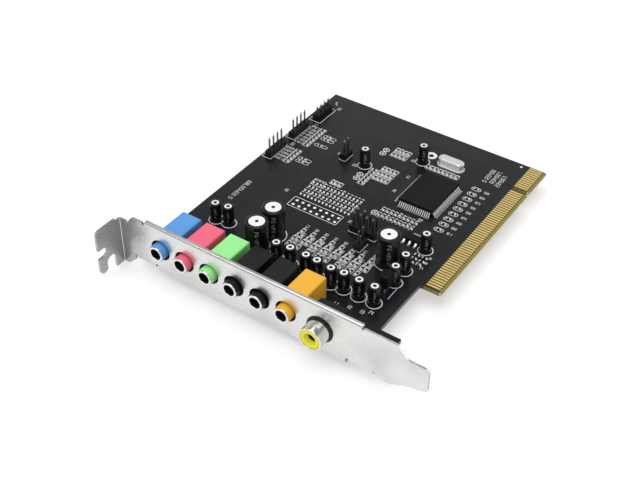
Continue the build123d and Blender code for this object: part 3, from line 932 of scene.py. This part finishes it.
def inkNumber(text, x, y, high=1.0, turn=0.0):
    wide = 0.55 * high
    turning = Matrix.Rotation(math.radians(turn), 2)
    for place, digit in enumerate(text):
        for letter in digitStrokes[digit]:
            ends = [Vector((place * 1.55 * wide + wide * a, high * b / 2)) for a, b in strokeEnds[letter]]
            ends = [turning @ end + Vector((x, y)) for end in ends]
            inkStroke(ends[0], ends[1], printLook["fine"])


def inkPartFrames():
    for x, y, long, framed in partPlaces:
        if framed:
            reach = (printLook["partLong"] / 2, printLook["partWide"] / 2)
            a, b = reach if long == "X" else reach[::-1]
            inkFrame(x - a, y - b, x + a, y + b, printLook["fine"])


def inkCapacitorRings():
    for name, kind in capacitorNodes.items():
        low, high = nodeBox(name)
        place, radius = ((low.x + high.x) / 2, (low.y + high.y) / 2), (high.x - low.x) / 2
        ring = radius + (0.5 if kind == "small" else 0.32)
        flatRing(ink, place, ring, ring + 0.2, inkLow, inkHigh)
        flatRing(ink, place, ring + 0.16, ring + 0.36, inkLow, inkHigh, -90.0, 180.0)


# A long rounded outline round one part
def inkCapsule(x, y, long, wide, width=printLook["line"]):
    half, turnRadius = long / 2 - wide / 2, wide / 2
    for side in (-1, 1):
        inkStroke((x - half, y + side * turnRadius), (x + half, y + side * turnRadius), width)
        inner, outer = turnRadius - width / 2, turnRadius + width / 2
        flatRing(ink, (x + side * half, y), inner, outer, inkLow, inkHigh, -90.0 * side, 180.0, 16)


emptyHeader = {"first": (-60.2, 9.35), "pitch": 2.54, "count": (8, 2), "pad": 0.56,
               "frame": (-62.0, 8.0, -41.3, 13.5)}
headerFrames = (
    (-86.8, 26.6, -82.8, 37.6), (-86.8, 42.0, -82.8, 53.0), (-86.1, 57.1, -80.9, 68.4),
    (-36.0, 8.0, -25.2, 13.4), (-61.7, 41.4, -58.9, 46.8), (-29.2, 0.4, -26.4, 5.8),
    (-62.0, 22.7, -57.2, 26.4), emptyHeader["frame"],
)
roundMarks = (
    (-50.1, 38.0), (-50.0, 35.4), (-50.1, 56.75), (-50.1, 54.15), (-33.8, 22.0),
)  # ringed test points
plainRings = (
    ((-34.2, 63.4), 0.95, 2.2, 0.0, 360.0, 48), ((-3.0, 76.4), 0.1, 0.5, 0.0, 360.0, 20),
    ((-82.2, 73.1), 1.25, 1.5, 150.0, 120.0, 16),
)  # place, inner and outer radius, start, sweep, steps
sideBars = {"x": -72.0, "y": (50.7, 48.9, 44.5, 33.7, 31.9), "long": 5.6, "wide": 1.45}
sideNumbers = ((2101, 7, 47.3), (2301, 5, 32.5))  # first number, count, middle y
frontTicks = ((20.4, 23.0), (24.2, 26.6))
numberLines = (("0123456", -9.6, 60.2, 1.5), ("1234567", -7.0, 60.2, 1.5), ("234567", -4.4, 60.2, 1.5),
               ("0123456789", -80.0, -1.0, 1.5))
printedNumbers = (
    (-20.5, -25.6, 1.3, 0), (-16.0, -24.4, 1.3, 0), (-11.5, -24.0, 1.3, 0), (-9.0, -22.6, 1.3, 0),
    (-66.0, 4.0, 1.3, 0), (-68.0, 14.0, 1.3, 0), (-6.2, 5.0, 1.0, 0), (-6.2, 8.0, 1.0, 0),
    (-6.2, 11.0, 1.0, 0), (-81.0, 38.6, 1.2, 90), (-81.0, 54.0, 1.2, 90), (-79.6, 69.0, 1.2, 90),
    (-38.6, 12.0, 1.2, 0), (-64.0, 44.0, 1.2, 0), (-55.5, 41.0, 1.2, 0), (-38.8, 56.0, 1.2, 0),
    (-34.0, 46.0, 1.0, 90), (-34.0, 36.0, 1.0, 90), (-19.0, 27.0, 1.0, 0), (-13.8, 20.0, 1.0, 0),
)  # x, y, height, turn

inkPartFrames()
inkCapacitorRings()
for corners in headerFrames:
    inkFrame(*corners)
for x, y in roundMarks:
    flatRing(ink, (x, y), 0.95, 1.25, inkLow, inkHigh)
    flatRing(ink, (x, y), 0.12, 0.4, inkLow, inkHigh, steps=20)
for place, inner, outer, start, sweep, steps in plainRings:
    flatRing(ink, place, inner, outer, inkLow, inkHigh, start, sweep, steps)
inkStroke((-6.7, -13.5), (-6.7, -7.0))
for y in sideBars["y"]:
    inkCapsule(sideBars["x"], y, sideBars["long"], sideBars["wide"], printLook["fine"])
for k in range(9):
    y = partBlocks["tongueColumn"][0][1] + 3.5 * (k - 4)
    inkCapsule(-10.4, y, 3.5, 1.9)
    inkNumber(str(121 + k), -7.6, y - 0.5, 1.0)
for k in range(tapers["count"]):
    x = tapers["first"] + tapers["step"] * k
    inkNumber(str(41 + k), x + 0.2, 0.9, 1.1, 90.0)
    inkNumber(str(61 + k), x + 1.5, -3.0, 0.8, 90.0)
for first, count, middle in sideNumbers:
    for k in range(count):
        inkNumber(str(first + k), -82.3, middle + 1.95 * (k - count // 2), 1.0)
for k in range(9):
    x = partBlocks["chipFront"][0][0] + 1.7 * (k - 4)
    for low, high in frontTicks:
        inkStroke((x - 0.85, low), (x - 0.85, high), printLook["fine"])
for text, x, y, high in numberLines:
    inkNumber(text, x, y, high, 90.0)
for k, (x, y, high, turn) in enumerate(printedNumbers):
    inkNumber(str(11 + k), x, y, high, turn)
addPiece("boardPrint", ink, ("ink",))
print("board print made")


# Copper runs under the mask, with small capped holes at their ends
tracks = {
    "width": 0.24, "high": 0.012, "hole": (0.12, 0.36),
    "contacts": 62, "leadPitch": 0.8,
}


def trackRuns():
    runs = []
    for k in range(tracks["contacts"]):
        if k not in (49, 50):
            y = contactPitch * k
            runs.append([(-0.2, y), (-1.2 - 0.8 * (k * 3 % 4), y)])
    low, high = nodeBox("audio_chip_leads")
    middleX, middleY = (low.x + high.x) / 2, (low.y + high.y) / 2
    for k in range(24):
        y = middleY + tracks["leadPitch"] * (k - 11.5)
        farY = middleY + contactPitch * (k - 11.5)
        bend = high.x + 0.8
        runs.append([(high.x - 0.2, y), (bend, y), (bend + abs(farY - y), farY), (-4.6, farY)])
        runs.append([(low.x + 0.2, y), (low.x - 1.2 - 0.6 * (k % 4), y)])
    for k in range(16):
        x = middleX + tracks["leadPitch"] * (k - 7.5)
        runs.append([(x, low.y + 0.2), (x, low.y - 0.9 - 0.6 * (k % 3))])
        runs.append([(x, high.y - 0.2), (x, high.y + 0.9 + 0.6 * (k % 3))])
    for k in range(6):
        x, end = -72.6 + 0.9 * k, 28.0 - 0.9 * k
        runs.append([(x, -20.5), (x, 2.0), (x + 4.0, 6.0), (x + 4.0, end)])
    for k in range(8):
        runs.append([(-57.0 + 0.5 * k, 31.0 + 0.7 * k), (-38.0 - 0.7 * k, 31.0 + 0.7 * k)])
    for k in range(7):
        x, y = -78.0 + 1.2 * k, 67.5 + 0.8 * k
        runs.append([(x, y), (-44.0, y), (-41.0, y + 3.0), (-14.0 - k, y + 3.0)])
    for k in range(5):
        x, y = -66.0 - 0.9 * k, 62.0 + 0.9 * k
        runs.append([(x, 40.0), (x, y - 4.0), (x + 4.0, y), (-38.0 - 0.9 * k, y)])
    return runs


def buildTracks():
    bm = bmesh.new()
    low, high = boardHigh.z, boardHigh.z + tracks["high"]
    inner, outer = tracks["hole"]
    for run in trackRuns():
        for start, end in zip(run, run[1:]):
            stroke(bm, start, end, tracks["width"], low, high)
        flatRing(bm, run[-1], inner, outer, low, high, steps=14)
    addPiece("boardTracks", bm, ("maskTrack",))


buildTracks()
print("tracks made")


# Tinned pads of the empty header, with their plated holes
def buildPads():
    bm = bmesh.new()
    across, along = emptyHeader["count"]
    pad = emptyHeader["pad"]
    dome = ((0, 0.14), (0.25, 0.16), (0.42, 0.11), (pad, 0.03), (pad, 0.0), (0, 0.0))
    for i in range(across):
        for k in range(along):
            x = emptyHeader["first"][0] + emptyHeader["pitch"] * i
            y = emptyHeader["first"][1] + emptyHeader["pitch"] * k
            turned(bm, dome, Vector((x, y, boardHigh.z)), upward, 24)
            turned(bm, dome, Vector((x, y, boardLow.z)), downward, 24)
    addPiece("headerPads", bm, ("solder",))


buildPads()


# Solder joints under the board, with the lead's tail in each
joints = {
    "foot": 0.95, "waist": 0.42, "high": 0.75, "tail": 1.25, "sides": 20,
    "capacitor": {"large": 1.75, "small": 0.9}, "crystal": 2.45,
    "jack": ((0, 2.0), (-2.5, 5.2), (2.5, 5.2), (-2.5, 10.4), (2.5, 10.4)),
    "phono": ((0, 2.0), (-3.4, 4.6), (3.4, 4.6)),
}


def jointPlaces():
    places = [(x, y) for x, y, name in headerPosts]
    for name, kind in capacitorNodes.items():
        low, high = nodeBox(name)
        spread = joints["capacitor"][kind]
        for way in (-spread, spread):
            places.append(((low.x + high.x) / 2 + way, (low.y + high.y) / 2))
    for jack in jackColors:
        low, high = nodeBox(f"{jack}_jack_housing")
        middle = (low.x + high.x) / 2
        for across, back in joints["jack"]:
            places.append((middle + across, high.y - back))
    low, high = nodeBox("phono_housing")
    for across, back in joints["phono"]:
        places.append(((low.x + high.x) / 2 + across, high.y - back))
    low, high = nodeBox("crystal_base")
    for way in (-joints["crystal"], joints["crystal"]):
        places.append(((low.x + high.x) / 2 + way, (low.y + high.y) / 2))
    low, high = nodeBox("transistor_leads")
    for k in range(3):
        places.append(((low.x + high.x) / 2, low.y + 0.25 + (high.y - low.y - 0.5) * k / 2))
    return places


def buildJoints():
    bm = bmesh.new()
    foot, waist, high, tail = joints["foot"], joints["waist"], joints["high"], joints["tail"]
    profile = ((0, 0.0), (foot, 0.0), (foot, 0.06), (0.8 * foot, 0.2), (0.58 * foot, 0.45), (waist, high),
               (0.3, high + 0.05), (0.28, tail - 0.08), (0.2, tail), (0, tail))
    for x, y in jointPlaces():
        turned(bm, profile, Vector((x, y, boardLow.z)), downward, joints["sides"])
    addPiece("solderJoints", bm, ("solder",))


buildJoints()
print("solder made")


# Camera, floor and light
cameraLook = {
    "place": (114.730, -237.710, 239.385), "turn": (49.7536, -0.7205, 34.0524),
    "lens": 60.768, "sensor": 36.0,
}
floorLook = {"half": 4000.0, "color": (0.6, 0.6, 0.6), "lift": 0.47}
worldLook = {"horizon": 1.0, "high": 0.25, "climb": (0.3, 0.72), "camera": 1.0}
lampLook = {"place": (-60, -60, 800), "aim": (-35, 15, 0), "size": 900.0, "power": 5.7}


def buildCamera():
    data = bpy.data.cameras.new("photoCamera")
    data.sensor_fit = "HORIZONTAL"
    data.sensor_width = cameraLook["sensor"]
    data.lens = cameraLook["lens"]
    data.clip_start = 0.01
    camera = bpy.data.objects.new("photoCamera", data)
    camera.location = Vector(cameraLook["place"]) * mm
    camera.rotation_euler = [math.radians(angle) for angle in cameraLook["turn"]]
    bpy.context.scene.collection.objects.link(camera)
    bpy.context.scene.camera = camera


# The floor takes the shadow, and glows a little for the camera and in reflections
def buildFloor():
    material, nodes, links = startMaterial("paleFloor")
    nodes.clear()
    diffuse = nodes.new("ShaderNodeBsdfDiffuse")
    diffuse.inputs["Color"].default_value = (*floorLook["color"], 1.0)
    glow = nodes.new("ShaderNodeEmission")
    glow.inputs["Strength"].default_value = floorLook["lift"]
    both = nodes.new("ShaderNodeAddShader")
    path = nodes.new("ShaderNodeLightPath")
    rays = (path.outputs["Is Camera Ray"], path.outputs["Is Glossy Ray"])
    seen = mathNode(nodes, links, "MAXIMUM", *rays)
    choose = nodes.new("ShaderNodeMixShader")
    output = nodes.new("ShaderNodeOutputMaterial")
    links.new(diffuse.outputs["BSDF"], both.inputs[0])
    links.new(glow.outputs["Emission"], both.inputs[1])
    links.new(seen, choose.inputs["Fac"])
    links.new(diffuse.outputs["BSDF"], choose.inputs[1])
    links.new(both.outputs["Shader"], choose.inputs[2])
    links.new(choose.outputs["Shader"], output.inputs["Surface"])
    bm = bmesh.new()
    bmesh.ops.create_grid(bm, x_segments=1, y_segments=1, size=floorLook["half"] * mm)
    mesh = bpy.data.meshes.new("floor")
    bm.to_mesh(mesh)
    bm.free()
    mesh.materials.append(material)
    floor = bpy.data.objects.new("floor", mesh)
    floor.location.z = cadBox[0].z
    bpy.context.scene.collection.objects.link(floor)


# A pale sky, brightest at the horizon, and plain white where the camera sees it
def buildWorld():
    world = bpy.data.worlds.new("studio")
    bpy.context.scene.world = world
    world.use_nodes = True
    nodes = world.node_tree.nodes
    links = world.node_tree.links
    nodes.clear()
    place = nodes.new("ShaderNodeTexCoord")
    axes = nodes.new("ShaderNodeSeparateXYZ")
    climb = nodes.new("ShaderNodeMapRange")
    climb.interpolation_type = "SMOOTHSTEP"
    climb.inputs["From Min"].default_value = worldLook["climb"][0]
    climb.inputs["From Max"].default_value = worldLook["climb"][1]
    climb.inputs["To Min"].default_value = worldLook["horizon"]
    climb.inputs["To Max"].default_value = worldLook["high"]
    sky = nodes.new("ShaderNodeBackground")
    plain = nodes.new("ShaderNodeBackground")
    plain.inputs["Strength"].default_value = worldLook["camera"]
    plain.inputs["Color"].default_value = (1.0, 1.0, 1.0, 1.0)
    sky.inputs["Color"].default_value = (1.0, 1.0, 1.0, 1.0)
    path = nodes.new("ShaderNodeLightPath")
    choose = nodes.new("ShaderNodeMixShader")
    output = nodes.new("ShaderNodeOutputWorld")
    links.new(place.outputs["Generated"], axes.inputs["Vector"])
    links.new(axes.outputs["Z"], climb.inputs["Value"])
    links.new(climb.outputs["Result"], sky.inputs["Strength"])
    links.new(path.outputs["Is Camera Ray"], choose.inputs["Fac"])
    links.new(sky.outputs["Background"], choose.inputs[1])
    links.new(plain.outputs["Background"], choose.inputs[2])
    links.new(choose.outputs["Shader"], output.inputs["Surface"])


def buildLamp():
    data = bpy.data.lights.new("keyLamp", "AREA")
    data.size = lampLook["size"] * mm
    data.energy = lampLook["power"]
    lamp = bpy.data.objects.new("keyLamp", data)
    place = Vector(lampLook["place"])
    lamp.location = place * mm
    lamp.rotation_euler = (Vector(lampLook["aim"]) - place).to_track_quat("-Z", "Y").to_euler()
    bpy.context.scene.collection.objects.link(lamp)


buildCamera()
buildFloor()
buildWorld()
buildLamp()
bpy.context.scene.view_settings.view_transform = "Standard"
print("stage made")
